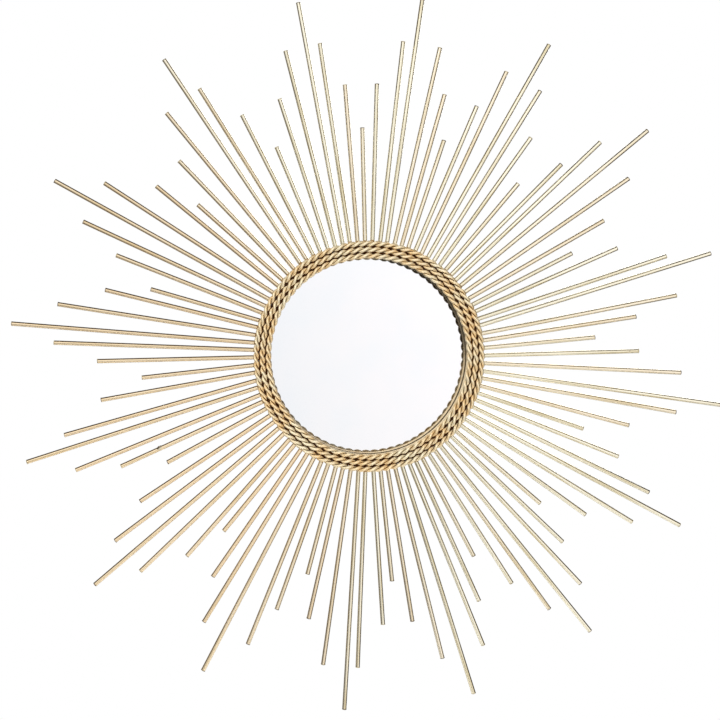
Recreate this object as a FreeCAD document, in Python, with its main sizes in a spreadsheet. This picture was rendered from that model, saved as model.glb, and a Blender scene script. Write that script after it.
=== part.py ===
import FreeCAD, Part
import Sketcher
import math
import os
import random

# A sunburst wall mirror: a round glass held in two rolled steel hoops, ringed by three
# ropes of twisted wire, with ninety-six steel rods standing out of the ring like rays.
# The front faces -Y, the wall is the plane y = 0, and the origin is where the mirror's
# axis meets the wall. Azimuths are in degrees clockwise from the top, seen from the front,
# and depths are distances in front of the wall.

Vector = FreeCAD.Vector
Rotation = FreeCAD.Rotation
Placement = FreeCAD.Placement

AXIS = Vector(0, 1, 0)
SIDEWAYS = Vector(1, 0, 0)
ORIGIN = Vector(0, 0, 0)

SIZES = {
    # rays: round rods whose tips reach four radii, one step apart
    "ray_diameter": 4.0,
    "ray_foot_radius": 93.2,
    "ray_short_tip_radius": 210.0,
    "ray_tip_step": 40.0,
    # ropes: each is two wires twisted about one another
    "rope_wire_radius": 1.38,
    "rope_wire_offset": 1.40,
    "rope_inner_radius": 92.6,
    "rope_spacing": 5.6,
    "rope_clearance": 0.02,
    # thicknesses of the stack behind the front hoop, from the wall forward
    "board_depth": 5.0,
    "board_thickness": 3.0,
    "card_thickness": 1.0,
    "glass_thickness": 3.0,
    "front_hoop_height": 11.2,
    "back_hoop_depth": 5.2,
    # round sheets and hoops
    "glass_radius": 95.2,
    "glass_bevel": 0.6,
    "card_radius": 95.2,
    "board_radius": 95.4,
    "board_edge_round": 0.5,
    "front_hoop_radius": 91.5,
    "back_hoop_radius": 96.0,
    "hoop_wall": 1.5,
    # lugs on the back hoop's outside
    "lug_hole_centre": 101.0,
    "lug_half_width": 4.5,
    "lug_thickness": 1.5,
    # turn buttons and the rivets they turn on
    "button_gap": 0.15,
    "button_thickness": 1.2,
    "button_heel_radius": 4.5,
    "button_nose_radius": 3.0,
    "button_reach": 13.0,
    "button_bore_radius": 1.56,
    "button_edge_round": 0.3,
    "rivet_shank_radius": 1.5,
    "rivet_head_radius": 2.8,
    "rivet_head_height": 1.1,
    # hanger bar and its two screws
    "bar_thickness": 1.5,
    "bar_half_height": 5.0,
    "bar_edge_round": 0.3,
    "screw_radius": 2.0,
    "screw_length": 6.0,
    "screw_head_radius": 3.7,
    "screw_head_top_radius": 3.0,
    "screw_head_height": 2.2,
    "screw_recess_width": 0.9,
    "screw_recess_span": 3.6,
    "screw_recess_depth": 1.2,
    # strap folded round the hanging ring
    "strap_sheet": 0.8,
    "strap_width": 10.0,
    "strap_tail": 4.3,
    "strap_rise": 2.1,
    "strap_loop_gap": 0.08,
    "strap_rivet_radius": 1.6,
    "strap_rivet_head_radius": 2.6,
    "strap_rivet_head_height": 1.0,
    # hanging ring
    "ring_wire_radius": 1.1,
    "ring_half_width": 7.6,
    "ring_corner_radius": 2.2,
    "ring_leg": 1.0,
    # rubber bumpers between the board and the wall
    "bumper_place_radius": 70.0,
    "bumper_base_radius": 6.0,
    "bumper_tip_radius": 4.4,
    "bumper_edge_round": 0.8,
}

# Each rope's place outward from the glass, and the twists of its wires in one lap.
ROPES = (("inner", 36), ("middle", 39), ("outer", 42))
ROPE_STRANDS = (("a", 0.0), ("b", math.pi))

FAN_COUNT = 16
RAYS_PER_FAN = 6
# How many tip steps each ray of a fan reaches past the short one, in clockwise order.
FAN_STEPS = (0, 1, 2, 3, 2, 1)
# How far the rays lean clockwise off the true radial line, in degrees. The rods are set and
# welded by eye, so the lean drifts slowly round the ring and each rod strays a little more.
LEAN_TURN = -0.65
LEAN_DRIFTS = ((1, 0.9, 25), (2, 1.4, 150), (3, 0.8, 90))  # times round, size, crest azimuth
LEAN_STRAY = 1.5
LEAN_SEED = 7
# The roots drift off even spacing too: a steady turn, and once and three times round.
ROOT_TURN = -0.3
ROOT_DRIFT_ONCE = 1.5
ROOT_DRIFT_THRICE = 0.5

BUTTON_AZIMUTHS = (75, 140, 220, 285)
BAR_AZIMUTH = 35
BUMPER_AZIMUTHS = {"upper_right": 55, "lower_right": 125, "lower_left": 235, "upper_left": 305}

doc = FreeCAD.newDocument("SunburstMirror")
nodes = []


def make_sheet():
    sizes = doc.addObject("Spreadsheet::Sheet", "Sizes")
    for row, (name, value) in enumerate(SIZES.items(), start=1):
        sizes.set(f"A{row}", name)
        sizes.set(f"B{row}", str(value))
        sizes.setAlias(f"B{row}", name)
    doc.recompute()
    return sizes


sheet = make_sheet()


def size(name):
    return float(getattr(sheet, name))


def keep(part, label):
    """Register a finished sub-part under its node's name."""
    part.Label = label
    nodes.append(part)
    return part


def turned(azimuth):
    return Rotation(AXIS, azimuth)


def spot(azimuth, radius, depth):
    """The point at a radius along an azimuth, at a depth in front of the wall."""
    angle = math.radians(azimuth)
    return Vector(radius * math.sin(angle), -depth, radius * math.cos(angle))


# Depths of the stack: the sheet's own sum as an expression, and its value.
BOARD_FRONT = "Sizes.board_depth + Sizes.board_thickness"
CARD_FRONT = f"{BOARD_FRONT} + Sizes.card_thickness"
GLASS_FRONT = f"{CARD_FRONT} + Sizes.glass_thickness"

glass_front = (
    size("board_depth") + size("board_thickness") + size("card_thickness") + size("glass_thickness")
)
ray_front = glass_front + size("front_hoop_height")
ray_plane = ray_front - size("ray_diameter") / 2
rope_reach = size("rope_wire_offset") + size("rope_wire_radius")
rope_plane = ray_front + rope_reach + size("rope_clearance")

# The hanger: where the bar's screws stand, and where the ring's hinge line runs.
bar_angle = math.radians(BAR_AZIMUTH)
bar_height = size("lug_hole_centre") * math.cos(bar_angle)
bar_screw_x = size("lug_hole_centre") * math.sin(bar_angle)
bar_rear = size("board_depth") - size("bar_thickness")
hinge_depth = bar_rear - size("strap_sheet")
hinge_height = bar_height + size("bar_half_height") + size("strap_rise")


# ---------------------------------------------------------------- helpers for bodies


def new_body(label):
    return keep(doc.addObject("PartDesign::Body", label), label)


def new_sketch(body, name, role):
    """A sketch on one of the body's own origin planes."""
    plane = next(f for f in body.Origin.OriginFeatures if f.Role == role)
    sketch = body.newObject("Sketcher::SketchObject", name)
    sketch.AttachmentSupport = [(plane, "")]
    sketch.MapMode = "FlatFace"
    return sketch


def add_circle(sketch, radius, expression, x=0.0, y=0.0):
    """A circle with a fixed centre and a radius bound to the sheet."""
    index = sketch.addGeometry(Part.Circle(Vector(x, y, 0), Vector(0, 0, 1), radius))
    sketch.addConstraint(Sketcher.Constraint("DistanceX", -1, 1, index, 3, x))
    sketch.addConstraint(Sketcher.Constraint("DistanceY", -1, 1, index, 3, y))
    number = sketch.addConstraint(Sketcher.Constraint("Radius", index, radius))
    sketch.renameConstraint(number, f"radius_{index}")
    sketch.setExpression(f"Constraints.radius_{index}", expression)


def add_outline(sketch, points):
    """A closed outline through the points.

    An entry (x, y) is reached by a straight edge, and (x, y, middle_x, middle_y) by an arc
    through the middle point. The first entry says how the last edge comes home.
    """
    start = Vector(points[0][0], points[0][1], 0)
    for entry in points[1:] + points[:1]:
        end = Vector(entry[0], entry[1], 0)
        if len(entry) == 4:
            edge = Part.Arc(start, Vector(entry[2], entry[3], 0), end)
        else:
            edge = Part.LineSegment(start, end)
        sketch.addGeometry(edge)
        start = end


def add_pad(body, sketch, thickness):
    """Thicken a sketch of the XZ plane forward, towards -Y."""
    pad = body.newObject("PartDesign::Pad", "Thickness")
    pad.Profile = sketch
    pad.setExpression("Length", thickness)
    body.Tip = pad
    return pad


def add_turning(body, sketch):
    """Revolve a sketch of the XY plane about the body's own Y axis."""
    turning = body.newObject("PartDesign::Revolution", "Turning")
    turning.Profile = sketch
    turning.ReferenceAxis = (sketch, ["V_Axis"])
    turning.Angle = 360
    body.Tip = turning
    return turning


def edges_at(feature, y):
    """The names of a feature's edges that lie wholly at one y of its body."""
    doc.recompute()
    boxes = [edge.BoundBox for edge in feature.Shape.Edges]
    near = 0.01
    flat = [abs(box.YMin - y) < near and abs(box.YMax - y) < near for box in boxes]
    return [f"Edge{i}" for i, here in enumerate(flat, start=1) if here]


def round_rear_rim(body, feature, radius):
    """Round the outermost edge loop of a flat piece's rear face."""
    names = edges_at(feature, 0)
    bores = [n for n in names if is_bore(feature.Shape.getElement(n))]
    fillet = body.newObject("PartDesign::Fillet", "RoundedRim")
    fillet.Base = (feature, [n for n in names if n not in bores])
    fillet.setExpression("Radius", radius)
    body.Tip = fillet


def is_bore(edge):
    """Whether an edge is the rim of a small round hole."""
    small_hole = 2.5
    return edge.isClosed() and edge.Curve.Radius < small_hole


def make_solid_part(kind, name, sizes):
    """A Part primitive with each of its sizes bound to the sheet."""
    primitive = doc.addObject(kind, name)
    for prop, expression in sizes.items():
        primitive.setExpression(prop, expression)
    return primitive


# ---------------------------------------------------------------- rays


strays = random.Random(LEAN_SEED)


def even_azimuth(index):
    return 360.0 / (FAN_COUNT * RAYS_PER_FAN) * index


def root_azimuth(index):
    """Where a ray meets the ring: even spacing, and the drift of hand setting out."""
    angle = math.radians(even_azimuth(index))
    drift = ROOT_DRIFT_ONCE * math.cos(angle) + ROOT_DRIFT_THRICE * math.cos(3 * angle)
    return even_azimuth(index) + ROOT_TURN + drift


def next_lean(index):
    """The lean of a ray: the slow drift at its place, and one more draw of its own stray."""
    drift = LEAN_TURN
    for laps, tilt, crest in LEAN_DRIFTS:
        drift += tilt * math.cos(math.radians(laps * (even_azimuth(index) - crest)))
    return drift + strays.uniform(-LEAN_STRAY, LEAN_STRAY)


def make_ray(name, index, steps):
    reach = f"Sizes.ray_short_tip_radius + {steps} * Sizes.ray_tip_step"
    length = f"{reach} - Sizes.ray_foot_radius"
    ray = make_solid_part(
        "Part::Cylinder", name, {"Radius": "Sizes.ray_diameter / 2", "Height": length}
    )
    azimuth = root_azimuth(index)
    foot = spot(azimuth, size("ray_foot_radius"), ray_plane)
    ray.Placement = Placement(foot, turned(azimuth + next_lean(index)))
    return ray


def make_ray_fan(fan):
    """Six separate rods that step up from the short one to the long one and down again."""
    rays = []
    for place, steps in enumerate(FAN_STEPS):
        index = RAYS_PER_FAN * fan - 1 + place
        name = f"Ray_{fan + 1:02d}_{place + 1}"
        rays.append(make_ray(name, index, steps))
    label = f"ray_fan_{fan + 1:02d}"
    group = keep(doc.addObject("Part::Compound", label), label)
    group.Links = rays


# ---------------------------------------------------------------- ropes

ROPE_SAMPLES = 6
SMALL_ANGLE = 1e-4
# A full circle as a rational quadratic curve: its control points, weights and knots.
CIRCLE_CORNERS = ((1, 0), (1, 1), (0, 1), (-1, 1), (-1, 0), (-1, -1), (0, -1), (1, -1), (1, 0))
CIRCLE_WEIGHTS = [1.0, math.sqrt(0.5)] * 4 + [1.0]
CIRCLE_KNOTS = [0.0, 0.25, 0.5, 0.75, 1.0]
CIRCLE_MULTIPLICITIES = [3, 2, 2, 2, 3]


class TwistedWire:
    """One wire of a rope: its centre winds left-handed along a circle about the axis."""

    def __init__(self, rope_radius, twists, phase):
        self.rope_radius = rope_radius
        self.twists = twists
        self.phase = phase

    def outward(self, angle):
        """Unit vector from the rope's centre line to the wire's centre."""
        twist = self.phase - self.twists * angle
        radial = Vector(math.sin(angle), 0, math.cos(angle))
        return radial * math.cos(twist) - AXIS * math.sin(twist)

    def centre(self, angle):
        radial = Vector(math.sin(angle), 0, math.cos(angle))
        middle = radial * self.rope_radius - AXIS * rope_plane
        return middle + self.outward(angle) * size("rope_wire_offset")

    def corner(self, angle, across, along):
        """A control point of the wire's round section."""
        ahead = self.centre(angle + SMALL_ANGLE) - self.centre(angle - SMALL_ANGLE)
        tangent = ahead.normalize()
        outward = self.outward(angle)
        normal = (outward - tangent * outward.dot(tangent)).normalize()
        side = tangent.cross(normal)
        return self.centre(angle) + (normal * across + side * along) * size("rope_wire_radius")

    def corner_line(self, across, along):
        """The line that one control point draws over one whole twist."""
        span = 2 * math.pi / self.twists
        steps = [i / ROPE_SAMPLES for i in range(ROPE_SAMPLES + 1)]
        change = self.corner(SMALL_ANGLE, across, along) - self.corner(-SMALL_ANGLE, across, along)
        slope = change * (span / (2 * SMALL_ANGLE))
        line = Part.BSplineCurve()
        line.interpolate(
            Points=[self.corner(span * step, across, along) for step in steps],
            Parameters=steps,
            InitialTangent=slope,
            FinalTangent=turned(math.degrees(span)).multVec(slope),
            Scale=False,
        )
        return line

    def one_twist(self):
        """The skin of the wire over one whole twist."""
        lines = [self.corner_line(across, along) for across, along in CIRCLE_CORNERS]
        poles = [line.getPoles() for line in lines]
        skin = Part.BSplineSurface()
        skin.buildFromPolesMultsKnots(
            poles,
            CIRCLE_MULTIPLICITIES,
            lines[0].getMultiplicities(),
            CIRCLE_KNOTS,
            lines[0].getKnots(),
            False,
            False,
            2,
            lines[0].Degree,
            [[weight] * len(poles[0]) for weight in CIRCLE_WEIGHTS],
        )
        return skin.toShape()

    def solid(self):
        """The closed wire: the skin of one twist, repeated round the ring and sewn up."""
        piece = self.one_twist()
        faces = []
        for twist in range(self.twists):
            face = piece.copy()
            face.rotate(ORIGIN, AXIS, 360.0 / self.twists * twist)
            faces.append(face)
        shell = Part.makeShell(faces)
        shell.sewShape()
        return Part.makeSolid(shell)


def make_rope(place, rope, twists):
    radius = size("rope_inner_radius") + place * size("rope_spacing")
    for strand, phase in ROPE_STRANDS:
        label = f"{rope}_rope_strand_{strand}"
        wire = keep(doc.addObject("Part::Feature", label), label)
        wire.Shape = TwistedWire(radius, twists, phase).solid()
        wire.Placement = Placement(ORIGIN, Rotation())


# ---------------------------------------------------------------- hoops and round sheets


def stand_at(body, depth):
    """Bind a body's distance in front of the wall to the sheet."""
    body.setExpression(".Placement.Base.y", f"-({depth})")


def make_hoop(label, radius_name, height, depth):
    """A flat steel strip rolled into a ring round the axis."""
    body = new_body(label)
    sketch = new_sketch(body, "HoopSection", "XZ_Plane")
    inner = size(radius_name)
    outer = inner + size("hoop_wall")
    add_circle(sketch, inner, f"Sizes.{radius_name}")
    add_circle(sketch, outer, f"Sizes.{radius_name} + Sizes.hoop_wall")
    add_pad(body, sketch, height)
    stand_at(body, depth)


def make_hoops():
    make_hoop("front_hoop", "front_hoop_radius", "Sizes.front_hoop_height", GLASS_FRONT)
    rear = "Sizes.back_hoop_depth"
    height = f"{GLASS_FRONT} + Sizes.front_hoop_height - Sizes.ray_diameter - {rear}"
    make_hoop("back_hoop", "back_hoop_radius", height, rear)


def make_disc(label, radius_name, thickness, depth):
    body = new_body(label)
    sketch = new_sketch(body, "DiscOutline", "XZ_Plane")
    add_circle(sketch, size(radius_name), f"Sizes.{radius_name}")
    disc = add_pad(body, sketch, thickness)
    stand_at(body, depth)
    return body, disc


def make_mirror_glass():
    body, disc = make_disc("mirror_glass", "glass_radius", "Sizes.glass_thickness", CARD_FRONT)
    bevel = body.newObject("PartDesign::Chamfer", "FrontBevel")
    bevel.Base = (disc, edges_at(disc, -size("glass_thickness")))
    bevel.setExpression("Size", "Sizes.glass_bevel")
    body.Tip = bevel


def make_spacer_card():
    make_disc("spacer_card", "card_radius", "Sizes.card_thickness", BOARD_FRONT)


def make_backing_board():
    body, board = make_disc(
        "backing_board", "board_radius", "Sizes.board_thickness", "Sizes.board_depth"
    )
    round_rear_rim(body, board, "Sizes.board_edge_round")


# ---------------------------------------------------------------- lugs


def make_lug(label, azimuth, bore_name):
    """A small steel tab on the hoop's outside, with a round end about its hole."""
    body = new_body(label)
    sketch = new_sketch(body, "LugOutline", "XZ_Plane")
    hoop = size("back_hoop_radius") + size("hoop_wall")
    half = size("lug_half_width")
    centre = size("lug_hole_centre")
    foot = math.sqrt(hoop**2 - half**2)
    add_outline(
        sketch,
        [
            (-half, foot, 0, hoop),
            (-half, centre),
            (half, centre, 0, centre + half),
            (half, foot),
        ],
    )
    add_circle(sketch, size(bore_name), f"Sizes.{bore_name}", 0, centre)
    add_pad(body, sketch, "Sizes.lug_thickness")
    body.Placement = Placement(Vector(0, -size("board_depth"), 0), turned(azimuth))


# ---------------------------------------------------------------- turn buttons


def button_outline(heel, nose, reach):
    """A round heel at the origin and a smaller round nose below it, joined by tangents."""
    fall = (heel - nose) / reach
    across = math.sqrt(1 - fall**2)
    return [
        (heel * across, -heel * fall, 0, heel),
        (nose * across, -reach - nose * fall),
        (-nose * across, -reach - nose * fall, 0, -reach - nose),
        (-heel * across, -heel * fall),
    ]


def make_turn_button(number, azimuth):
    """A flat steel button that reaches in over the board, free to turn on its rivet."""
    body = new_body(f"turn_button_{number}")
    sketch = new_sketch(body, "ButtonOutline", "XZ_Plane")
    heel = size("button_heel_radius")
    nose = size("button_nose_radius")
    add_outline(sketch, button_outline(heel, nose, size("button_reach")))
    add_circle(sketch, size("button_bore_radius"), "Sizes.button_bore_radius")
    plate = add_pad(body, sketch, "Sizes.button_thickness")
    round_rear_rim(body, plate, "Sizes.button_edge_round")
    rear = size("board_depth") - size("button_gap") - size("button_thickness")
    place = spot(azimuth, size("lug_hole_centre"), rear)
    body.Placement = Placement(place, turned(azimuth))


def make_button_rivet(number, azimuth):
    """A rivet with a domed head behind the button and a flat foot in front of the lug."""
    body = new_body(f"button_rivet_{number}")
    sketch = new_sketch(body, "RivetProfile", "XY_Plane")
    shank = size("rivet_shank_radius")
    head = size("rivet_head_radius")
    height = size("rivet_head_height")
    lug_front = -size("lug_thickness")
    foot = lug_front - height / 2
    collar = 2 * size("button_gap") + size("button_thickness")
    dome = (head**2 + height**2) / (2 * height)
    half_way = math.asin(head / dome) / 2
    dome_centre = collar + height - dome
    add_outline(
        sketch,
        [
            (0, foot),
            (head, foot),
            (head, lug_front),
            (shank, lug_front),
            (shank, collar),
            (head, collar),
            (0, collar + height, dome * math.sin(half_way), dome_centre + dome * math.cos(half_way)),
        ],
    )
    add_turning(body, sketch)
    place = spot(azimuth, size("lug_hole_centre"), size("board_depth"))
    body.Placement = Placement(place, Rotation())


# ---------------------------------------------------------------- hanger


def make_hanger_bar():
    """A steel bar across the back that carries the mirror's weight."""
    body = new_body("hanger_bar")
    sketch = new_sketch(body, "BarOutline", "XZ_Plane")
    half = size("bar_half_height")
    end = bar_screw_x
    add_outline(
        sketch,
        [(-end, -half, -end - half, 0), (end, -half), (end, half, end + half, 0), (-end, half)],
    )
    screw = size("screw_radius")
    add_circle(sketch, screw, "Sizes.screw_radius", -end, 0)
    add_circle(sketch, screw, "Sizes.screw_radius", end, 0)
    add_circle(sketch, size("strap_rivet_radius"), "Sizes.strap_rivet_radius")
    bar = add_pad(body, sketch, "Sizes.bar_thickness")
    round_rear_rim(body, bar, "Sizes.bar_edge_round")
    body.Placement = Placement(Vector(0, -bar_rear, bar_height), Rotation())


def make_screw_recess(side):
    """The two crossed slots of a screw's drive, as one cutting tool."""
    slots = []
    for turn, angle in (("level", 0), ("upright", 90)):
        slot = make_solid_part(
            "Part::Box",
            f"Recess_{side}_{turn}",
            {
                "Length": "Sizes.screw_recess_span",
                "Width": "Sizes.screw_recess_depth",
                "Height": "Sizes.screw_recess_width",
            },
        )
        corner = Vector(
            -size("screw_recess_span") / 2,
            size("screw_head_height") - size("screw_recess_depth"),
            -size("screw_recess_width") / 2,
        )
        spin = turned(angle)
        slot.Placement = Placement(spin.multVec(corner), spin)
        slots.append(slot)
    cross = doc.addObject("Part::Fuse", f"Recess_{side}")
    cross.Base, cross.Tool = slots
    return cross


def make_bar_screw(side, x):
    """A pan-head machine screw that holds one end of the bar to its lug."""
    shank = make_solid_part(
        "Part::Cylinder",
        f"Shank_{side}",
        {"Radius": "Sizes.screw_radius", "Height": "Sizes.screw_length"},
    )
    shank.Placement = Placement(ORIGIN, Rotation(SIDEWAYS, 90))
    head = make_solid_part(
        "Part::Cone",
        f"Head_{side}",
        {
            "Radius1": "Sizes.screw_head_radius",
            "Radius2": "Sizes.screw_head_top_radius",
            "Height": "Sizes.screw_head_height",
        },
    )
    head.Placement = Placement(ORIGIN, Rotation(SIDEWAYS, -90))
    blank = doc.addObject("Part::Fuse", f"Blank_{side}")
    blank.Base, blank.Tool = head, shank
    screw = keep(doc.addObject("Part::Cut", f"Screw_{side}"), f"bar_screw_{side}")
    screw.Base, screw.Tool = blank, make_screw_recess(side)
    screw.Placement = Placement(Vector(x, -bar_rear, bar_height), Rotation())


def make_hanger_strap():
    """A strip folded round the ring's straight side, its two tails pressed together."""
    body = new_body("hanger_strap")
    sketch = new_sketch(body, "FoldedStrip", "YZ_Plane")
    sheet_thickness = size("strap_sheet")
    bore = size("ring_wire_radius") + size("strap_loop_gap")
    outer = bore + sheet_thickness
    neck = -math.sqrt(outer**2 - sheet_thickness**2)
    tail = bar_height - size("strap_tail") - hinge_height
    add_outline(
        sketch,
        [
            (-sheet_thickness, tail),
            (-sheet_thickness, neck),
            (sheet_thickness, neck, 0, outer),
            (sheet_thickness, tail),
        ],
    )
    bore_size = "Sizes.ring_wire_radius + Sizes.strap_loop_gap"
    add_circle(sketch, bore, bore_size)
    pad = body.newObject("PartDesign::Pad", "Width")
    pad.Profile = sketch
    pad.Midplane = True
    pad.setExpression("Length", "Sizes.strap_width")
    body.Tip = pad
    punch_strap(body)
    body.Placement = Placement(Vector(0, -hinge_depth, hinge_height), Rotation())


def punch_strap(body):
    """Cut the rivet's hole through both tails."""
    sketch = new_sketch(body, "RivetHole", "XZ_Plane")
    below = bar_height - hinge_height
    add_circle(sketch, size("strap_rivet_radius"), "Sizes.strap_rivet_radius", 0, below)
    hole = body.newObject("PartDesign::Pocket", "Punching")
    hole.Profile = sketch
    hole.Type = "ThroughAll"
    hole.Midplane = True
    body.Tip = hole


def make_strap_rivet():
    """A flat-headed rivet through the strap and the bar, peened flush in front."""
    body = new_body("strap_rivet")
    sketch = new_sketch(body, "RivetProfile", "XY_Plane")
    shank = size("strap_rivet_radius")
    head = size("strap_rivet_head_radius")
    under_head = 2 * size("strap_sheet")
    top = under_head + size("strap_rivet_head_height")
    crown = (head + shank) / 2
    add_outline(
        sketch,
        [
            (0, -size("bar_thickness")),
            (shank, -size("bar_thickness")),
            (shank, under_head),
            (head, under_head),
            (crown, top),
            (0, top),
        ],
    )
    add_turning(body, sketch)
    body.Placement = Placement(Vector(0, -bar_rear, bar_height), Rotation())


def make_hanging_ring():
    """A wire ring with a straight side in the strap and a half-round bow above it."""
    body = new_body("hanging_ring")
    path = new_sketch(body, "RingPath", "XZ_Plane")
    side = size("ring_half_width")
    corner = size("ring_corner_radius")
    foot = side - corner
    shoulder = corner + size("ring_leg")
    turn = corner * math.sqrt(0.5)
    add_outline(
        path,
        [
            (0, 0),
            (foot, 0),
            (side, corner, foot + turn, corner - turn),
            (side, shoulder),
            (-side, shoulder, 0, shoulder + side),
            (-side, corner),
            (-foot, 0, -foot - turn, corner - turn),
        ],
    )
    section = new_sketch(body, "WireSection", "YZ_Plane")
    add_circle(section, size("ring_wire_radius"), "Sizes.ring_wire_radius")
    wire = body.newObject("PartDesign::AdditivePipe", "Wire")
    wire.Profile = section
    wire.Spine = path
    body.Tip = wire
    body.Placement = Placement(Vector(0, -hinge_depth, hinge_height), Rotation())


# ---------------------------------------------------------------- bumpers


def make_bumper(corner, azimuth):
    """A tapered rubber foot that keeps the board off the wall."""
    body = new_body(f"bumper_{corner}")
    sketch = new_sketch(body, "BumperProfile", "XY_Plane")
    base = size("bumper_base_radius")
    tip = size("bumper_tip_radius")
    depth = size("board_depth")
    add_outline(sketch, [(0, -depth), (base, -depth), (tip, 0), (0, 0)])
    cone = add_turning(body, sketch)
    fillet = body.newObject("PartDesign::Fillet", "SoftTip")
    fillet.Base = (cone, edges_at(cone, 0))
    fillet.setExpression("Radius", "Sizes.bumper_edge_round")
    body.Tip = fillet
    body.Placement = Placement(spot(azimuth, size("bumper_place_radius"), 0), Rotation())


# ---------------------------------------------------------------- the whole mirror


def make_mirror():
    for fan in range(FAN_COUNT):
        make_ray_fan(fan)
    for place, (rope, twists) in enumerate(ROPES):
        make_rope(place, rope, twists)
    make_hoops()
    make_mirror_glass()
    make_spacer_card()
    make_backing_board()
    for number, azimuth in enumerate(BUTTON_AZIMUTHS, start=1):
        make_lug(f"button_lug_{number}", azimuth, "rivet_shank_radius")
        make_turn_button(number, azimuth)
        make_button_rivet(number, azimuth)
    for side, way in (("left", -1), ("right", 1)):
        make_lug(f"bar_lug_{side}", way * BAR_AZIMUTH, "screw_radius")
        make_bar_screw(side, way * bar_screw_x)
    make_hanger_bar()
    make_hanger_strap()
    make_strap_rivet()
    make_hanging_ring()
    for corner, azimuth in BUMPER_AZIMUTHS.items():
        make_bumper(corner, azimuth)


def check_document():
    """Stop if any object failed, or if a sub-part has no sound solid."""
    failed = [
        item.Label for item in doc.Objects if "Invalid" in item.State or "Error" in item.State
    ]
    if failed:
        raise RuntimeError(f"failed objects: {failed}")
    for part in nodes:
        if part.Shape.isNull() or not part.Shape.isValid() or not part.Shape.Solids:
            raise RuntimeError(f"{part.Label} has no valid solid")


def write_parts():
    os.makedirs("parts", exist_ok=True)
    for part in nodes:
        part.Shape.exportStep(f"parts/{part.Label}.step")
        print(part.Label, len(part.Shape.Solids), round(part.Shape.Volume, 1))


make_mirror()
doc.recompute()
check_document()
write_parts()
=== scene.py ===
"""Looks of a sunburst wall mirror: ninety-six champagne rods behind three twisted-wire rings.

Everything is in metres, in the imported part's own frame: the front faces -Y, +Z is up and the
wall plane is y = 0.
"""
import math
import random

import bmesh
import bpy
import numpy as np
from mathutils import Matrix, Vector, noise


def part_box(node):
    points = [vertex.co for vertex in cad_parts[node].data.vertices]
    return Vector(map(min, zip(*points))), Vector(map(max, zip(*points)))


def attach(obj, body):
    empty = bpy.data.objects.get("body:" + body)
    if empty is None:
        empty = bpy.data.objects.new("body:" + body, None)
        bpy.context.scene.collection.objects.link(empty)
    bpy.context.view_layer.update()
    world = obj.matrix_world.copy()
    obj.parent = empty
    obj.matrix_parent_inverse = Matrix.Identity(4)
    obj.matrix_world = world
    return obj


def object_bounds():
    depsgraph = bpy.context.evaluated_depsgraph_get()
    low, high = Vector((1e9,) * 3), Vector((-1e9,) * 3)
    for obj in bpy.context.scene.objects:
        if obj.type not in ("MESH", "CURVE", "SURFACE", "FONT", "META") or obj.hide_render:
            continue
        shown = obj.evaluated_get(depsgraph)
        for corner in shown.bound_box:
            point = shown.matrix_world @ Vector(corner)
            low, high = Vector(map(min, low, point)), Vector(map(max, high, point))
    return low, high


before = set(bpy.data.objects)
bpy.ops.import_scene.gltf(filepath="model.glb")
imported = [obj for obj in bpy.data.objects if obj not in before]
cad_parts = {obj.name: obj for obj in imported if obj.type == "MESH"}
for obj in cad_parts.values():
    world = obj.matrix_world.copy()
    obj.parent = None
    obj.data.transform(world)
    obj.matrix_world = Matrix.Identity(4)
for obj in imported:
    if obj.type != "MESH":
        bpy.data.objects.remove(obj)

CAD_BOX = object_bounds()
MM = 0.001


# ---------------------------------------------------------------- what the frame says

def nodes_named(start):
    """The names of the CAD nodes that begin with start, in order."""
    return [name for name in sorted(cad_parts) if name.startswith(start)]


def rope_ring(node):
    """Ring radius, bundle radius and plane (a y value) of the rope that a strand belongs to."""
    low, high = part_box(node)
    bundle = (high.y - low.y) / 2
    return high.x - bundle, bundle, (high.y + low.y) / 2


def rods_of(node):
    """Foot and tip of each rod in a fan, read from its own mesh."""
    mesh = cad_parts[node].data
    corners = np.array([v.co for v in mesh.vertices])
    places, same = np.unique(np.round(corners, 6), axis=0, return_inverse=True)
    same = same.ravel()
    parent = list(range(len(places)))

    def root(i):
        while parent[i] != i:
            parent[i] = parent[parent[i]]
            i = parent[i]
        return i

    for polygon in mesh.polygons:
        first, *others = [same[i] for i in polygon.vertices]
        for other in others:
            parent[root(other)] = root(first)
    roots = np.array([root(i) for i in range(len(places))])
    rods = []
    for which in np.unique(roots):
        cloud = places[roots == which]
        middle = cloud.mean(axis=0)
        along = np.linalg.svd(cloud - middle)[2][0]
        travel = (cloud - middle) @ along
        ends = [
            Vector(cloud[travel < travel.min() + 0.5 * MM].mean(axis=0)),
            Vector(cloud[travel > travel.max() - 0.5 * MM].mean(axis=0)),
        ]
        rods.append(sorted(ends, key=lambda p: math.hypot(p.x, p.z)))
    return rods


# ---------------------------------------------------------------- shader nodes

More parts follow.
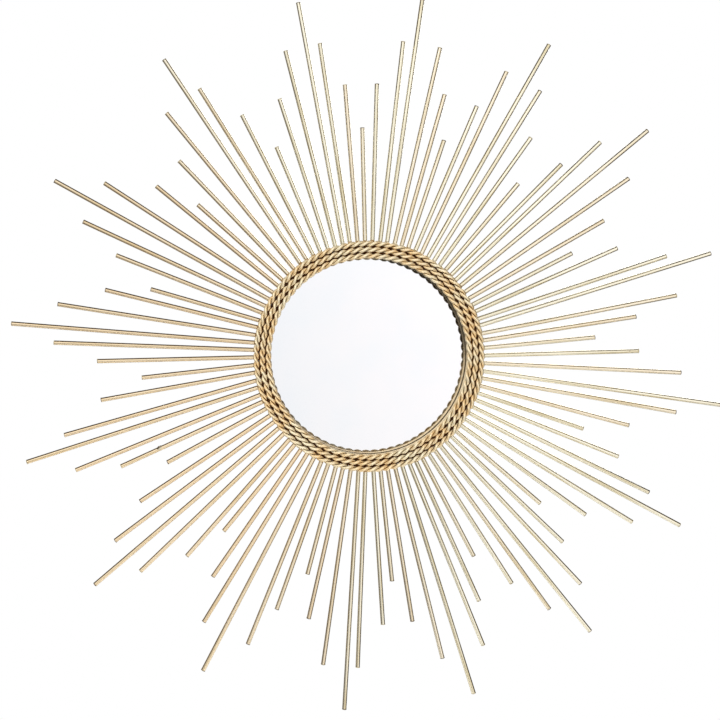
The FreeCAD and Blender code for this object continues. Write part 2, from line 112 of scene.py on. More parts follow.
class Graph:
    """Adds shader nodes to one tree and joins their sockets."""

    def __init__(self, tree):
        self.tree = tree
        self.tree.nodes.clear()

    def put(self, socket, value):
        if isinstance(value, bpy.types.NodeSocket):
            self.tree.links.new(value, socket)
        else:
            socket.default_value = value

    def add(self, kind, inputs=None, **settings):
        node = self.tree.nodes.new(kind)
        for name, value in settings.items():
            setattr(node, name, value)
        for name, value in (inputs or {}).items():
            self.put(node.inputs[name], value)
        return node

    def math(self, operation, *values):
        node = self.add("ShaderNodeMath", operation=operation)
        for socket, value in zip(node.inputs, values):
            self.put(socket, value)
        return node.outputs[0]

    def total(self, *terms):
        """A weighted sum: each term is a (socket, weight) pair or a plain number."""
        result = None
        for term in terms:
            if isinstance(term, tuple):
                term = self.math("MULTIPLY", *term)
            result = term if result is None else self.math("ADD", result, term)
        return result

    def smooth(self, value, low, high, start=0.0, end=1.0):
        node = self.add("ShaderNodeMapRange", interpolation_type="SMOOTHSTEP")
        for name, number in zip(("Value", "From Min", "From Max", "To Min", "To Max"),
                                (value, low, high, start, end)):
            self.put(node.inputs[name], number)
        return node.outputs["Result"]

    def blend(self, factor, low, high, how="MIX"):
        node = self.add("ShaderNodeMix", data_type="RGBA", blend_type=how)
        for index, value in ((0, factor), (6, low), (7, high)):
            self.put(node.inputs[index], value)
        return node.outputs[2]

    def noise(self, point, scale, detail=4.0, roughness=0.55, distortion=0.0):
        return self.add("ShaderNodeTexNoise", {
            "Vector": point, "Scale": scale, "Detail": detail, "Roughness": roughness,
            "Distortion": distortion}).outputs["Fac"]

    def cells(self, point, scale, feature="F1"):
        return self.add("ShaderNodeTexVoronoi", {"Vector": point, "Scale": scale},
                        feature=feature).outputs["Distance"]

    def split(self, vector):
        node = self.add("ShaderNodeSeparateXYZ", {"Vector": vector})
        return node.outputs["X"], node.outputs["Y"], node.outputs["Z"]

    def join(self, x, y, z):
        return self.add("ShaderNodeCombineXYZ", {"X": x, "Y": y, "Z": z}).outputs["Vector"]

    def bump(self, height, distance, strength=1.0):
        return self.add("ShaderNodeBump", {
            "Height": height, "Distance": distance, "Strength": strength}).outputs["Normal"]

    def point(self):
        """The surface's own point in the part's frame, in metres."""
        return self.add("ShaderNodeTexCoord").outputs["Object"]

    def from_axis(self):
        """The distance from the mirror's axis, which is the Y axis."""
        x, _, z = self.split(self.point())
        return self.math("SQRT", self.total((x, x), (z, z)))

    def toward(self, azimuth):
        """How far round the point lies towards a clock angle, -1 to 1."""
        x, _, z = self.split(self.point())
        turn = math.radians(azimuth)
        reach = self.total((x, math.sin(turn)), (z, math.cos(turn)))
        return self.math("DIVIDE", reach, self.from_axis())

    def polar(self, round_turns, out_scale):
        """A point for grain that runs outward: fine round the axis, stretched along the radius."""
        x, y, z = self.split(self.point())
        out = self.from_axis()
        return self.join(
            self.math("MULTIPLY", self.math("DIVIDE", x, out), round_turns),
            self.total(y, (out, out_scale)),
            self.math("MULTIPLY", self.math("DIVIDE", z, out), round_turns))

    def facing(self, direction):
        """How squarely the surface faces a fixed direction of the part's frame, -1 to 1."""
        normal = self.add("ShaderNodeTexCoord").outputs["Normal"]
        node = self.add("ShaderNodeVectorMath", operation="DOT_PRODUCT")
        self.put(node.inputs[0], normal)
        self.put(node.inputs[1], direction)
        return node.outputs["Value"]

    def facing_out(self):
        """How squarely the surface faces away from the mirror's axis, -1 to 1."""
        x, _, z = self.split(self.point())
        outward = self.add("ShaderNodeVectorMath", {"Vector": self.join(x, 0.0, z)},
                           operation="NORMALIZE").outputs["Vector"]
        return self.facing(outward)


def tone(red, green, blue):
    """A colour given as 0-255 display values, as the shader's linear RGBA."""
    def channel(value):
        value /= 255
        return value / 12.92 if value <= 0.04045 else ((value + 0.055) / 1.055) ** 2.4
    return channel(red), channel(green), channel(blue), 1.0


def material(name, look, **numbers):
    """A material whose Principled shader gets look(graph)'s sockets and its plain numbers."""
    made = bpy.data.materials.new(name)
    made.use_nodes = True
    graph = Graph(made.node_tree)
    shader = graph.add("ShaderNodeBsdfPrincipled", look(graph, **numbers))
    graph.add("ShaderNodeOutputMaterial", {"Surface": shader.outputs["BSDF"]})
    return made


# ---------------------------------------------------------------- materials

CHAMPAGNE = tone(252, 246, 222)
OLIVE_GOLD = tone(214, 199, 156)
ROSE_GOLD = tone(244, 222, 190)
TAWNY = tone(246, 211, 160)
# brown for real patina, and for the painted shade on the rods' upper sides and the drop's upper left
PATINA_AND_SHADE = tone(92, 66, 38)
BARE_STEEL = tone(128, 112, 92)


def ray_look(graph):
    """Champagne metallic paint on drawn steel rod, wiped with flecks of brown patina, ends cut bare.

    The warmer tone on the left is painted warm shade, and the brown along the upper sides is painted
    shade.
    """
    point = graph.point()
    streaks = graph.noise(graph.polar(0.9, 0.06), 180.0, detail=3.0)
    clouds = graph.noise(point, 14.0, detail=2.0)
    own = graph.add("ShaderNodeNewGeometry").outputs["Random Per Island"]
    flecks = graph.noise(point, 620.0, detail=6.0, roughness=0.7)
    worn = graph.smooth(flecks, 0.60, 0.72)
    wear_and_shade = graph.math("MULTIPLY", worn, graph.smooth(clouds, 0.40, 0.66, 0.15, 0.9))
    paint = graph.blend(graph.smooth(streaks, 0.42, 0.72), CHAMPAGNE, OLIVE_GOLD)
    paint = graph.blend(graph.smooth(own, 0.55, 1.0, 0.0, 0.45), paint, ROSE_GOLD)
    # painted warm shade: the rods on the left are blended towards a warmer tawny
    left = graph.smooth(graph.toward(255), 0.1, 0.85)
    paint = graph.blend(graph.math("MULTIPLY", left, 0.55), paint, TAWNY)
    # painted shade: brown laid along the upper sides of the rods, most on the left
    upper = graph.smooth(graph.facing((0.0, -0.25, 0.97)), 0.50, 0.90)
    upper = graph.math("MULTIPLY", upper, graph.total((left, 0.65), (clouds, 0.3)))
    # real wear flecks combined with the painted shade of the upper sides
    wear_and_shade = graph.math("MAXIMUM", wear_and_shade, upper)
    paint = graph.blend(wear_and_shade, paint, PATINA_AND_SHADE)
    cut = graph.smooth(graph.math("ABSOLUTE", graph.facing_out()), 0.80, 0.97)
    height = graph.total((flecks, 0.4), (graph.noise(point, 1700.0), 0.6))
    return {
        "Base Color": graph.blend(cut, paint, BARE_STEEL),
        "Metallic": 0.96,
        "Roughness": graph.total((streaks, 0.14), (wear_and_shade, 0.25), (cut, 0.18), 0.13),
        "Coat Weight": 0.1,
        "Coat Roughness": 0.2,
        "Normal": graph.bump(height, 0.03 * MM, 0.6),
    }


ROPE_GOLD = tone(250, 217, 162)
ROPE_PALE = tone(255, 242, 208)
ROPE_BROWN = tone(70, 38, 8)
# the dark of painted shade, on the ropes' side turned to the wall and on the hoop's inner wall
PAINTED_SHADE = tone(30, 25, 20)
DARKEST_SIDE = 48      # the clock angle where the painted shade on the insides is darkest


def rope_look(graph, ring, bundle, plane, shade):
    """Warm gold wire whose grooves, near the bundle's own centre line, hold dark patina and painted
    shade, with a painted highlight on the crests and painted shade on the side turned to the wall.

    shade: how dark the painted shade on the side turned to the wall is, 0 to 1.
    """
    point = graph.point()
    _, y, _ = graph.split(point)
    across = graph.math("SUBTRACT", graph.from_axis(), ring)
    deep = graph.math("SUBTRACT", y, plane)
    from_core = graph.math("SQRT", graph.total((across, across), (deep, deep)))
    groove = graph.smooth(from_core, 0.26 * bundle, 0.52 * bundle, 1.0, 0.0)
    # painted highlight: the outermost surface of each bundle is blended paler
    painted_crest_highlight = graph.smooth(from_core, 0.90 * bundle, 1.00 * bundle)
    drawn = graph.noise(point, 900.0, detail=5.0, roughness=0.65)
    clouds = graph.noise(point, 60.0, detail=3.0)
    gold = graph.blend(graph.smooth(clouds, 0.35, 0.68), ROPE_GOLD, ROPE_PALE)
    gold = graph.blend(graph.math("MULTIPLY", painted_crest_highlight, 0.35), gold, ROPE_PALE)
    # the groove darkening is patina and painted shade in the creases between strands
    groove_stain_and_shade = graph.math("MULTIPLY", groove, graph.smooth(drawn, 0.25, 0.7, 1.0, 0.75))
    gold = graph.blend(graph.smooth(drawn, 0.60, 0.74, 0.0, 0.35), gold, PATINA_AND_SHADE)
    gold = graph.blend(groove_stain_and_shade, gold, ROPE_BROWN)
    # painted shade: the side turned to the wall is darkened, most towards the upper right
    rear = graph.smooth(graph.facing((0.0, 1.0, 0.0)), -0.1, 0.4, 0.0, shade)
    shaded_side = graph.smooth(graph.toward(DARKEST_SIDE), 0.6, 0.85, 0.6, 1.0)
    rear = graph.math("MULTIPLY", rear, shaded_side)
    return {
        "Base Color": graph.blend(rear, gold, PAINTED_SHADE),
        "Metallic": 0.72,
        "Roughness": graph.total((groove, 0.25), (drawn, 0.16), 0.24),
        "Specular IOR Level": 0.3,
        "Normal": graph.bump(drawn, 0.03 * MM, 0.5),
    }


def hoop_look(graph):
    """Gold-painted steel strip with rolling lines and some patina, with painted shade on the inner
    wall beside the glass and at the upper right.
    """
    point = graph.point()
    _, y, _ = graph.split(point)
    glass_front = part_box("mirror_glass")[0].y
    beside = graph.math("ABSOLUTE", graph.math("SUBTRACT", y, glass_front))
    inside = graph.smooth(graph.facing_out(), -0.8, -0.4, 1.0, 0.0)
    # painted shade in the corner where the inner wall meets the glass
    wall_shade = graph.smooth(beside, 1.6 * MM, 4.2 * MM, 0.95, 0.0)
    lines = graph.noise(graph.join(graph.from_axis(), y, 0.0), 2600.0, detail=3.0)
    spots = graph.noise(point, 240.0, detail=5.0, roughness=0.7)
    paint = graph.blend(graph.smooth(spots, 0.35, 0.7), tone(236, 214, 172), tone(206, 176, 124))
    paint = graph.blend(graph.smooth(spots, 0.62, 0.78, 0.0, 0.6), paint, PATINA_AND_SHADE)
    # painted shade on the inner wall towards the upper right
    upper_right_shade = graph.smooth(graph.toward(DARKEST_SIDE), 0.6, 0.85, 0.0, 0.8)
    wall_shade = graph.math("MULTIPLY", inside, graph.math("MAXIMUM", wall_shade, upper_right_shade))
    return {
        "Base Color": graph.blend(wall_shade, paint, PAINTED_SHADE),
        "Metallic": graph.total((wall_shade, -0.45), 0.45),
        "Specular IOR Level": graph.total((wall_shade, -0.45), 0.45),
        "Roughness": graph.total((lines, 0.20), (spots, 0.14), (wall_shade, 0.30), 0.32),
        "Normal": graph.bump(graph.total((lines, 0.7), (spots, 0.3)), 0.02 * MM, 0.6),
    }


def mirror_look(graph):
    """Silvered float glass: bright front, green ground edge, grey paint on the back."""
    point = graph.point()
    front = graph.smooth(graph.facing((0.0, -1.0, 0.0)), 0.55, 0.92)
    back = graph.smooth(graph.facing((0.0, 1.0, 0.0)), 0.55, 0.92)
    ground = graph.noise(point, 1900.0, detail=4.0)
    haze = graph.noise(point, 26.0, detail=3.0)
    edge = graph.blend(graph.smooth(ground, 0.3, 0.7), tone(148, 184, 166), tone(190, 214, 202))
    silver = graph.blend(graph.smooth(haze, 0.35, 0.7), tone(252, 252, 252), tone(249, 251, 252))
    body = graph.blend(front, edge, silver)
    return {
        "Base Color": graph.blend(back, body, tone(122, 126, 128)),
        "Metallic": front,
        "Roughness": graph.total((front, -0.36), (ground, 0.05), (haze, 0.01), 0.38),
        "Coat Weight": 0.3,
        "Coat Roughness": 0.02,
        "Normal": graph.bump(ground, 0.01 * MM, 0.02),
    }


def card_look(graph):
    """Grey-brown paperboard with short fibres."""
    point = graph.point()
    fibres = graph.noise(point, 1400.0, detail=6.0, roughness=0.7, distortion=0.6)
    clouds = graph.noise(point, 90.0, detail=3.0)
    colour = graph.blend(graph.smooth(fibres, 0.3, 0.7), tone(150, 132, 106), tone(186, 168, 138))
    return {
        "Base Color": graph.blend(graph.smooth(clouds, 0.5, 0.75, 0.0, 0.3), colour,
                                  tone(128, 110, 86)),
        "Roughness": graph.total((fibres, 0.15), 0.78),
        "Normal": graph.bump(fibres, 0.04 * MM, 0.7),
    }


def board_look(graph):
    """Hardboard: pressed brown fibre, smooth on the faces and darker on the sawn rim."""
    point = graph.point()
    fibres = graph.noise(point, 950.0, detail=8.0, roughness=0.72, distortion=0.8)
    chips = graph.cells(point, 520.0)
    clouds = graph.noise(point, 32.0, detail=3.0)
    rim = graph.smooth(graph.math("ABSOLUTE", graph.facing((0.0, 1.0, 0.0))), 0.3, 0.8, 1.0, 0.0)
    face = graph.blend(graph.smooth(fibres, 0.28, 0.72), tone(112, 78, 50), tone(164, 122, 82))
    face = graph.blend(graph.smooth(chips, 0.25, 0.6, 0.35, 0.0), face, tone(92, 62, 40))
    face = graph.blend(graph.smooth(clouds, 0.35, 0.75, 0.0, 0.4), face, tone(176, 136, 96))
    return {
        "Base Color": graph.blend(graph.math("MULTIPLY", rim, 0.6), face, tone(84, 56, 34)),
        "Roughness": graph.total((fibres, 0.25), (rim, 0.2), 0.42),
        "Normal": graph.bump(graph.total((fibres, 0.7), (chips, 0.3)), 0.06 * MM, 0.7),
    }


def zinc_look(graph):
    """Zinc-plated steel: cool grey with soft spangle and faint iridescent passivation."""
    point = graph.point()
    spangle = graph.cells(point, 700.0)
    clouds = graph.noise(point, 260.0, detail=4.0)
    scratches = graph.noise(point, 2300.0, detail=5.0, roughness=0.7)
    colour = graph.blend(graph.smooth(clouds, 0.3, 0.7), tone(186, 190, 196), tone(206, 204, 190))
    colour = graph.blend(graph.smooth(spangle, 0.1, 0.6, 0.25, 0.0), colour, tone(150, 156, 166))
    return {
        "Base Color": graph.blend(graph.smooth(scratches, 0.62, 0.8, 0.0, 0.4), colour,
                                  tone(104, 102, 98)),
        "Metallic": 1.0,
        "Roughness": graph.total((spangle, 0.18), (scratches, 0.14), 0.18),
        "Normal": graph.bump(graph.total((spangle, 0.3), (scratches, 0.7)), 0.015 * MM, 0.6),
    }


def brass_look(graph):
    """Pressed brass with a brown bloom where fingers never polish it."""
    point = graph.point()
    bloom = graph.noise(point, 300.0, detail=5.0, roughness=0.65)
    scratches = graph.noise(point, 2600.0, detail=5.0, roughness=0.7)
    colour = graph.blend(graph.smooth(bloom, 0.35, 0.7), tone(226, 188, 104), tone(178, 134, 66))
    return {
        "Base Color": graph.blend(graph.smooth(bloom, 0.64, 0.8, 0.0, 0.5), colour,
                                  tone(96, 66, 34)),
        "Metallic": 1.0,
        "Roughness": graph.total((bloom, 0.22), (scratches, 0.14), 0.12),
        "Normal": graph.bump(scratches, 0.015 * MM, 0.6),
    }


def rubber_look(graph):
    """Matt black rubber with a moulded grain and pale dust in it."""
    point = graph.point()
    grain = graph.cells(point, 1500.0)
    dust = graph.noise(point, 420.0, detail=5.0, roughness=0.7)
    return {
        "Base Color": graph.blend(graph.smooth(dust, 0.5, 0.8, 0.0, 0.5), tone(34, 33, 33),
                                  tone(86, 82, 78)),
        "Roughness": graph.total((grain, 0.2), (dust, 0.15), 0.55),
        "Specular IOR Level": 0.35,
        "Normal": graph.bump(grain, 0.04 * MM, 0.6),
    }


def seam_and_shade_look(graph):
    """Braze drawn into the valley between two ropes, dark brown as painted shade for the valley,
    with a little gold left.
    """
    point = graph.point()
    soot = graph.noise(point, 420.0, detail=5.0, roughness=0.7)
    ripples = graph.noise(point, 1200.0, detail=3.0)
    return {
        "Base Color": graph.blend(graph.smooth(soot, 0.45, 0.8), tone(64, 32, 8),
                                  tone(124, 80, 32)),
        "Metallic": 0.85,
        "Roughness": graph.total((soot, 0.25), 0.5),
        "Specular IOR Level": 0.2,
        "Normal": graph.bump(ripples, 0.05 * MM, 0.7),
    }


def braze_look(graph):
    """Brass-coloured braze, browned by the torch and only thinly covered by the paint."""
    point = graph.point()
    scale = graph.noise(point, 500.0, detail=5.0, roughness=0.7)
    ripples = graph.noise(point, 1300.0, detail=3.0)
    colour = graph.blend(graph.smooth(scale, 0.3, 0.7), tone(150, 108, 62), tone(206, 168, 112))
    return {
        "Base Color": graph.blend(graph.smooth(scale, 0.55, 0.75, 0.0, 0.8), colour, PATINA_AND_SHADE),
        "Metallic": 0.8,
        "Roughness": graph.total((scale, 0.3), 0.28),
        "Normal": graph.bump(graph.total((ripples, 0.7), (scale, 0.3)), 0.06 * MM, 0.7),
    }


def painted_braze_look(graph):
    """The same champagne paint over a rough drop, darker where it sank into the pits, with painted
    shade on its upper left.
    """
    point = graph.point()
    pits = graph.noise(point, 700.0, detail=5.0, roughness=0.7)
    colour = graph.blend(graph.smooth(pits, 0.35, 0.62), OLIVE_GOLD, CHAMPAGNE)
    # painted shade: surfaces facing up and to the left are blended to brown
    upper_left_shade = graph.smooth(graph.facing((-0.55, -0.35, 0.75)), 0.35, 0.80, 0.0, 0.75)
    colour = graph.blend(upper_left_shade, colour, PATINA_AND_SHADE)
    return {
        "Base Color": graph.blend(graph.smooth(pits, 0.30, 0.44, 0.8, 0.0), colour, PATINA_AND_SHADE),
        "Metallic": 0.9,
        "Roughness": graph.total((pits, -0.2), 0.42),
        "Normal": graph.bump(pits, 0.25 * MM, 0.8),
    }


def sheared_look(graph):
    """Sheared steel: dull, brown with a first bloom of rust, torn in fine lines."""
    point = graph.point()
    x, y, z = graph.split(point)
    tears = graph.noise(graph.join(x, graph.math("MULTIPLY", y, 6.0), z), 700.0, detail=5.0)
    bloom = graph.noise(point, 330.0, detail=3.0)
    own = graph.add("ShaderNodeNewGeometry").outputs["Random Per Island"]
    bare = graph.blend(graph.smooth(bloom, 0.4, 0.7), tone(104, 92, 78), tone(92, 64, 40))
    colour = graph.blend(graph.smooth(own, 0.3, 0.7, 0.85, 0.1), bare, OLIVE_GOLD)
    return {
        "Base Color": graph.blend(graph.smooth(tears, 0.5, 0.75, 0.0, 0.6), colour,
                                  tone(150, 140, 126)),
        "Metallic": 0.7,
        "Roughness": graph.total((tears, 0.3), 0.35),
        "Normal": graph.bump(tears, 0.08 * MM, 0.8),
    }


def dress(name, made):
    """Gives a CAD node its material, whatever its number of slots."""
    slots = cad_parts[name].data.materials
    slots.clear()
    slots.append(made)


def dress_frame():
    """Puts the materials on the CAD nodes, by the record's own slot names."""
    by_slot = {
        "ray_steel": material("champagne_paint", ray_look),
        "hoop_steel": material("hoop_gold", hoop_look),
        "mirror": material("silvered_glass", mirror_look),
        "card": material("paperboard", card_look),
        "board": material("hardboard", board_look),
        "fitting_steel": material("zinc_plate", zinc_look),
        "fitting_brass": material("pressed_brass", brass_look),
        "bumper_rubber": material("black_rubber", rubber_look),
    }
    for name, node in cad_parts.items():
        slot = node.data.materials[0].name
        if slot in by_slot:
            dress(name, by_slot[slot])
    # how dark the painted shade on each rope's side turned to the wall is
    for which, shade in (("inner", 0.95), ("middle", 0.3), ("outer", 0.3)):
        strands = nodes_named(which + "_rope_strand")
        ring, bundle, plane = rope_ring(strands[0])
        made = material(which + "_rope_gold", rope_look, ring=ring, bundle=bundle, plane=plane,
                        shade=shade)
        for name in strands:
            dress(name, made)


# ---------------------------------------------------------------- braze

SEAM_RADIUS = 1.25 * MM
SEAM_SINK = 0.55 * MM      # how far the seam lies behind the ropes' own plane
LAP_STEPS = 720
SEAM_SIDES = 10
LUG_HALF_WIDTH = 4.5 * MM
SPATTER_RADIUS = 211 * MM  # how far out the drop sits on its rod
SPATTER_AZIMUTH = math.radians(246)
SPATTER_HALF_SIZES = (3.4 * MM, 2.1 * MM, 2.2 * MM)


def clock_angle(point):
    """The angle of a point round the axis, clockwise from the top, 0 to a full turn."""
    return math.atan2(point.x, point.z) % math.tau


def new_piece(name, shape, made):
    """Makes an object of a bmesh, riding the frame and finished with the given material."""
    mesh = bpy.data.meshes.new(name)
    shape.normal_update()
    shape.to_mesh(mesh)
    shape.free()
    for polygon in mesh.polygons:
        polygon.use_smooth = True
    mesh.materials.append(made)
    piece = bpy.data.objects.new(name, mesh)
    bpy.context.scene.collection.objects.link(piece)
    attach(piece, "frame")
    return piece


def outward(azimuth):
    """The unit vector out from the axis, at an angle clockwise from the top."""
    return Vector((math.sin(azimuth), 0.0, math.cos(azimuth)))


def add_seam(shape, radius, plane, phase):
    """An uneven fillet all the way round, closed on itself, whose thickness wanders."""
    rows = []
    for step in range(LAP_STEPS):
        azimuth = math.tau * step / LAP_STEPS
        out = outward(azimuth)
        wander = noise.noise(out * 26.0 + Vector((phase, 0.0, 0.0)))
        thick = SEAM_RADIUS * (1.0 + 0.22 * wander)
        row = []
        for side in range(SEAM_SIDES):
            turn = math.tau * side / SEAM_SIDES
            place = out * (radius + thick * math.cos(turn))
            place.y = plane + thick * math.sin(turn)
            row.append(shape.verts.new(place))
        rows.append(row)
    for one, two in zip(rows, rows[1:] + rows[:1]):
        for side in range(SEAM_SIDES):
            after = (side + 1) % SEAM_SIDES
            shape.faces.new((one[side], one[after], two[after], two[side]))


def make_seams(rings):
    """Braze in the two valleys between neighbouring ropes, dark as painted shade there."""
    made = material("braze_and_valley_shade", seam_and_shade_look)
    for name, (near, far) in {"inner_braze_seam": rings[0:2],
                              "outer_braze_seam": rings[1:3]}.items():
        shape = bmesh.new()
        valley = (near[0] + near[1] + far[0] - far[1]) / 2
        add_seam(shape, valley, near[2] + SEAM_SINK, valley / MM)
        bmesh.ops.recalc_face_normals(shape, faces=shape.faces)
        new_piece(name, shape, made)


def add_bead(shape, centre, along, half_sizes, dice, roughness=0.22):
    """A lump of braze: a ball stretched along three directions and made uneven.

    along is the way of its first half size, and the second runs along Y.
    """
    across = along.cross(Vector((0.0, 1.0, 0.0))).normalized()
    made = bmesh.ops.create_icosphere(shape, subdivisions=3, radius=1.0)["verts"]
    shift = Vector((dice.uniform(0, 90), dice.uniform(0, 90), dice.uniform(0, 90)))
    for corner in made:
        ball = corner.co.copy()
        ball *= 1.0 + roughness * noise.noise(ball * 1.4 + shift)
        ball *= 1.0 + 0.3 * roughness * noise.noise(ball * 4.5 + shift)
        corner.co = (centre + along * ball.x * half_sizes[0]
                     + Vector((0.0, ball.y * half_sizes[1], 0.0))
                     + across * ball.z * half_sizes[2])


def round_way(point):
    """The unit vector clockwise round the axis at a point."""
    return Vector((point.z, 0.0, -point.x)).normalized()


def at_radius(rod, radius):
    """The point of a rod's centre line at a distance from the axis."""
    foot, tip = rod
    way = (tip - foot).normalized()
    flat = Vector((foot.x, 0.0, foot.z))
    back = flat.dot(way)
    return foot + way * (math.sqrt(back ** 2 - flat.length ** 2 + radius ** 2) - back)


def rod_radius():
    low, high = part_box("ray_fan_01")
    return (high.y - low.y) / 2


def make_ray_brazes(rods, rings):
    """A lump behind each rod, where it crosses the back hoop, and one under the outer rope."""
    made = material("torched_braze", braze_look)
    dice = random.Random(96)
    half_rod = rod_radius()
    hoop_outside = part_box("back_hoop")[1].x
    rope_outside = rings[2][0] + rings[2][1]
    rear, front = bmesh.new(), bmesh.new()
    for rod in rods:
        seat = at_radius(rod, hoop_outside + dice.uniform(0.1, 0.5) * MM)
        seat.y += half_rod + dice.uniform(-0.1, 0.3) * MM
        sizes = [dice.uniform(2.2, 3.0) * MM, dice.uniform(0.9, 1.3) * MM,
                 dice.uniform(1.1, 1.6) * MM]
        add_bead(rear, seat, round_way(seat), sizes, dice)
        seat = at_radius(rod, rope_outside - dice.uniform(0.3, 0.9) * MM)
        seat += round_way(seat) * dice.uniform(-0.5, 0.5) * MM
        seat.y -= half_rod + dice.uniform(-0.4, 0.1) * MM
        sizes = [dice.uniform(1.5, 2.3) * MM, dice.uniform(0.5, 0.8) * MM,
                 dice.uniform(0.9, 1.4) * MM]
        add_bead(front, seat, round_way(seat), sizes, dice)
    new_piece("rear_ray_brazes", rear, made)
    new_piece("front_ray_brazes", front, made)


def make_lug_brazes():
    """Two small welds where each lug stands on the back hoop, one at either side of it."""
    made = material("lug_braze", braze_look)
    dice = random.Random(12)
    hoop_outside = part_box("back_hoop")[1].x
    shape = bmesh.new()
    for name in nodes_named("button_lug") + nodes_named("bar_lug"):
        low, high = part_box(name)
        middle = (low + high) / 2
        way = round_way(middle)
        out = Vector((middle.x, 0.0, middle.z)).normalized()
        for side in (-1, 1):
            seat = out * (hoop_outside + 0.2 * MM) + way * side * LUG_HALF_WIDTH
            seat.y = high.y - dice.uniform(0.3, 0.6) * (high.y - low.y)
            sizes = [dice.uniform(1.2, 1.8) * MM, dice.uniform(0.7, 0.95) * MM,
                     dice.uniform(0.8, 1.2) * MM]
            add_bead(shape, seat, way, sizes, dice)
    new_piece("lug_brazes", shape, made)


def make_spatter(rods):
    """The one drop of braze that was left on a rod, low on the left."""
    made = material("painted_braze", painted_braze_look)
    dice = random.Random(7)
    rod = min(rods, key=lambda r: abs(clock_angle(r[1]) - SPATTER_AZIMUTH))
    seat = at_radius(rod, SPATTER_RADIUS)
    way = (rod[1] - rod[0]).normalized()
    seat += Vector((0.0, -0.3, 0.5)) * MM
    shape = bmesh.new()
    add_bead(shape, seat, way, SPATTER_HALF_SIZES, dice, roughness=0.3)
    new_piece("braze_spatter", shape, made)


# ---------------------------------------------------------------- sheared rod ends

END_SIDES = 24


def add_sheared_end(shape, rod, half_rod, dice):
    """The cropped end of a rod: a thin burr round it and a slightly hollow torn face."""
    way = (rod[1] - rod[0]).normalized()
    across = way.cross(Vector((0.0, 1.0, 0.0))).normalized()
    deep = way.cross(across)
    lean = dice.uniform(0.0, math.tau)
    profile = (
        (half_rod - 0.10 * MM, -0.60 * MM),
        (half_rod + 0.05 * MM, -0.45 * MM),
        (half_rod + 0.13 * MM, -0.05 * MM),
        (half_rod + 0.07 * MM, 0.16 * MM),
        (half_rod - 0.25 * MM, 0.12 * MM),
        (half_rod * 0.45, 0.04 * MM),
    )
    rings = []
    for radius, travel in profile:
        ring = []
        for side in range(END_SIDES):
            turn = math.tau * side / END_SIDES
            burr = 1.0 + 0.5 * math.cos(turn - lean)
            reach = radius if radius < half_rod else half_rod + (radius - half_rod) * burr
            step = travel * (burr if travel > 0 else 1.0)
            ring.append(shape.verts.new(rod[1] + way * step
                                        + (across * math.cos(turn) + deep * math.sin(turn)) * reach))
        rings.append(ring)
    for one, two in zip(rings, rings[1:]):
        for side in range(END_SIDES):
            after = (side + 1) % END_SIDES
            shape.faces.new((one[side], one[after], two[after], two[side]))
    shape.faces.new(rings[0][::-1])
    shape.faces.new(rings[-1])


def make_sheared_ends(rods):
    """The torn end face and burr of every rod, as one piece."""
    half_rod = rod_radius()
    dice = random.Random(330)
    shape = bmesh.new()
    for rod in rods:
        add_sheared_end(shape, rod, half_rod, dice)
    bmesh.ops.recalc_face_normals(shape, faces=shape.faces)
    new_piece("sheared_ray_ends", shape, material("sheared_steel", sheared_look))


# ---------------------------------------------------------------- the studio

REACH = 0.95             # from the camera to the plane of the rods
FRAME_WIDTH = 0.6650     # what the picture is wide, in that plane
CAMERA_LEFT = 0.090      # where the camera stands from the mirror's axis
CAMERA_UP = 0.050
TURN_RIGHT = 0.7         # degrees the camera is turned towards the mirror's axis
TURN_DOWN = 1.7
AXIS_RIGHT = 0.0121      # where the mirror's axis stands from the middle, in picture widths
AXIS_UP = 0.0050


def make_camera():
    data = bpy.data.cameras.new("camera")
    data.sensor_width = 36.0
    data.clip_start = 0.05
    camera = bpy.data.objects.new("camera", data)
    bpy.context.scene.collection.objects.link(camera)
    low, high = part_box("ray_fan_01")
    middle = (low.y + high.y) / 2
    camera.location = (-CAMERA_LEFT, middle - REACH, CAMERA_UP)
    camera.rotation_euler = (math.radians(90 - TURN_DOWN), 0, math.radians(-TURN_RIGHT))
    axis = Vector((0.0, middle, 0.0)) - camera.location
    axis.rotate(camera.rotation_euler.to_matrix().inverted())
    data.lens = data.sensor_width * -axis.z / FRAME_WIDTH
    data.shift_x = axis.x / FRAME_WIDTH - AXIS_RIGHT
    data.shift_y = axis.y / FRAME_WIDTH - AXIS_UP
    bpy.context.scene.camera = camera


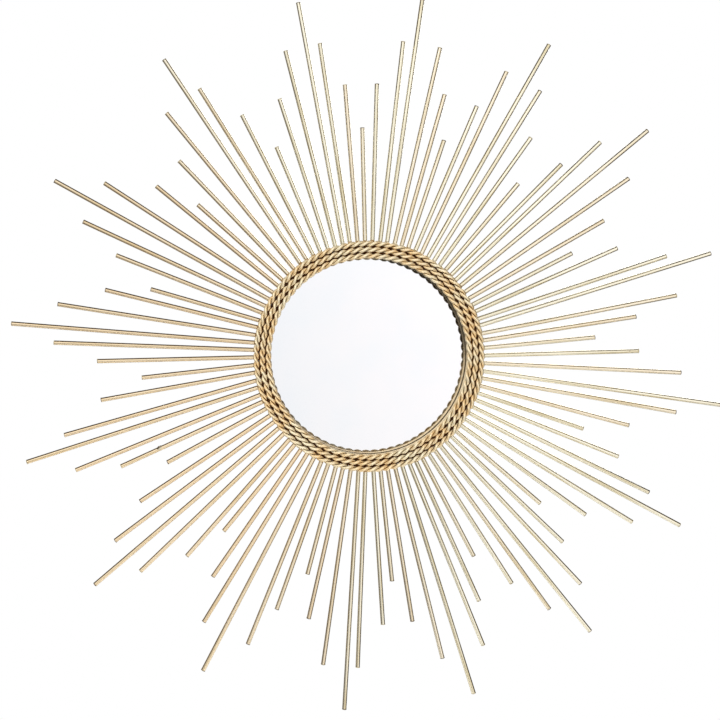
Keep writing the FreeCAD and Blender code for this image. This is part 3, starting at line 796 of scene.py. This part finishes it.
def make_world():
    """A light tent: white before and behind, with dark flags at the sides.

    The sheet in front is dimmer low on the left, and glows round the key lamp. The camera
    itself sees plain white paper.
    """
    world = bpy.data.worlds.new("light_tent")
    bpy.context.scene.world = world
    world.use_nodes = True
    graph = Graph(world.node_tree)
    x, y, z = graph.split(graph.add("ShaderNodeTexCoord").outputs["Generated"])
    side = graph.math("MAXIMUM", graph.total((x, -0.05), (z, -0.08), 0.06), 0.0)
    sheet = graph.math("MINIMUM", graph.total((x, 0.42), (z, 0.24), 0.98), 1.08)
    low = graph.total((x, -0.5), (z, -1.0))
    sheet = graph.math("MULTIPLY", sheet, graph.smooth(low, 0.30, 0.80, 1.0, 0.45))
    towards_key = graph.total((x, -0.55), (y, -0.62), (z, 0.56))
    sheet = graph.total((graph.smooth(towards_key, 0.82, 0.97), 0.65), (sheet, 1.0))
    front = graph.smooth(graph.math("MULTIPLY", y, -1.0), 0.28, 0.80)
    back = graph.smooth(y, 0.60, 0.97)
    level = graph.total((graph.math("SUBTRACT", 1.0, front), side), (front, sheet),
                        (back, 0.45))
    cast = graph.blend(graph.smooth(x, -0.05, 0.15), tone(250, 251, 254), tone(255, 253, 255))
    tent = graph.add("ShaderNodeBackground", {
        "Color": graph.blend(front, tone(255, 244, 230), cast),
        "Strength": level})
    paper = graph.add("ShaderNodeBackground", {"Color": (1.0, 1.0, 1.0, 1.0), "Strength": 1.0})
    seen = graph.add("ShaderNodeLightPath").outputs["Is Camera Ray"]
    either = graph.add("ShaderNodeMixShader", {"Fac": seen})
    graph.put(either.inputs[1], tent.outputs["Background"])
    graph.put(either.inputs[2], paper.outputs["Background"])
    graph.add("ShaderNodeOutputWorld", {"Surface": either.outputs["Shader"]})


def add_softbox(name, location, aim, size, watts, mirrored=True):
    data = bpy.data.lights.new(name, "AREA")
    data.shape = "DISK"
    data.size = size
    data.energy = watts
    lamp = bpy.data.objects.new(name, data)
    lamp.location = location
    lamp.rotation_euler = (Vector(aim) - Vector(location)).to_track_quat("-Z", "Y").to_euler()
    lamp.visible_glossy = mirrored
    bpy.context.scene.collection.objects.link(lamp)


def make_lights():
    centre = (0.0, -0.01, 0.0)
    add_softbox("key", (-1.1, -1.2, 1.0), centre, 0.9, 34.0, mirrored=False)
    add_softbox("overhead", (0.0, -0.2, 1.9), centre, 1.8, 20.0, mirrored=False)
    add_softbox("behind", (0.9, 1.6, 0.9), centre, 1.2, 16.0)


FLOOR_DROP = 0.42        # below the lowest rod tip
FLOOR_RADIUS = 1.0


def floor_look(made):
    """Pale matt floor that fades into the white backdrop."""
    made.use_nodes = True
    graph = Graph(made.node_tree)
    point = graph.point()
    x, y, _ = graph.split(point)
    out = graph.math("SQRT", graph.total((x, x), (y, y)))
    grain = graph.noise(point, 40.0, detail=5.0)
    matt = graph.add("ShaderNodeBsdfDiffuse", {
        "Color": graph.blend(graph.smooth(grain, 0.3, 0.7), tone(240, 239, 237),
                             tone(245, 244, 242))})
    clear = graph.add("ShaderNodeBsdfTransparent")
    fade = graph.add("ShaderNodeMixShader", {
        "Fac": graph.smooth(out, 0.45 * FLOOR_RADIUS, 0.97 * FLOOR_RADIUS)})
    graph.put(fade.inputs[1], matt.outputs["BSDF"])
    graph.put(fade.inputs[2], clear.outputs["BSDF"])
    graph.add("ShaderNodeOutputMaterial", {"Surface": fade.outputs["Shader"]})


def make_floor():
    shape = bmesh.new()
    bmesh.ops.create_circle(shape, cap_ends=True, segments=96, radius=FLOOR_RADIUS)
    mesh = bpy.data.meshes.new("floor")
    shape.to_mesh(mesh)
    shape.free()
    made = bpy.data.materials.new("pale_floor")
    floor_look(made)
    mesh.materials.append(made)
    floor = bpy.data.objects.new("floor", mesh)
    floor.location = (0.0, 0.0, CAD_BOX[0].z - FLOOR_DROP)
    bpy.context.scene.collection.objects.link(floor)


dress_frame()
ROPE_RINGS = [rope_ring(which + "_rope_strand_a") for which in ("inner", "middle", "outer")]
RODS = [rod for name in nodes_named("ray_fan") for rod in rods_of(name)]
make_seams(ROPE_RINGS)
make_ray_brazes(RODS, ROPE_RINGS)
make_lug_brazes()
make_spatter(RODS)
make_sheared_ends(RODS)
make_camera()
make_world()
make_lights()
make_floor()
bpy.context.scene.view_settings.view_transform = "Standard"
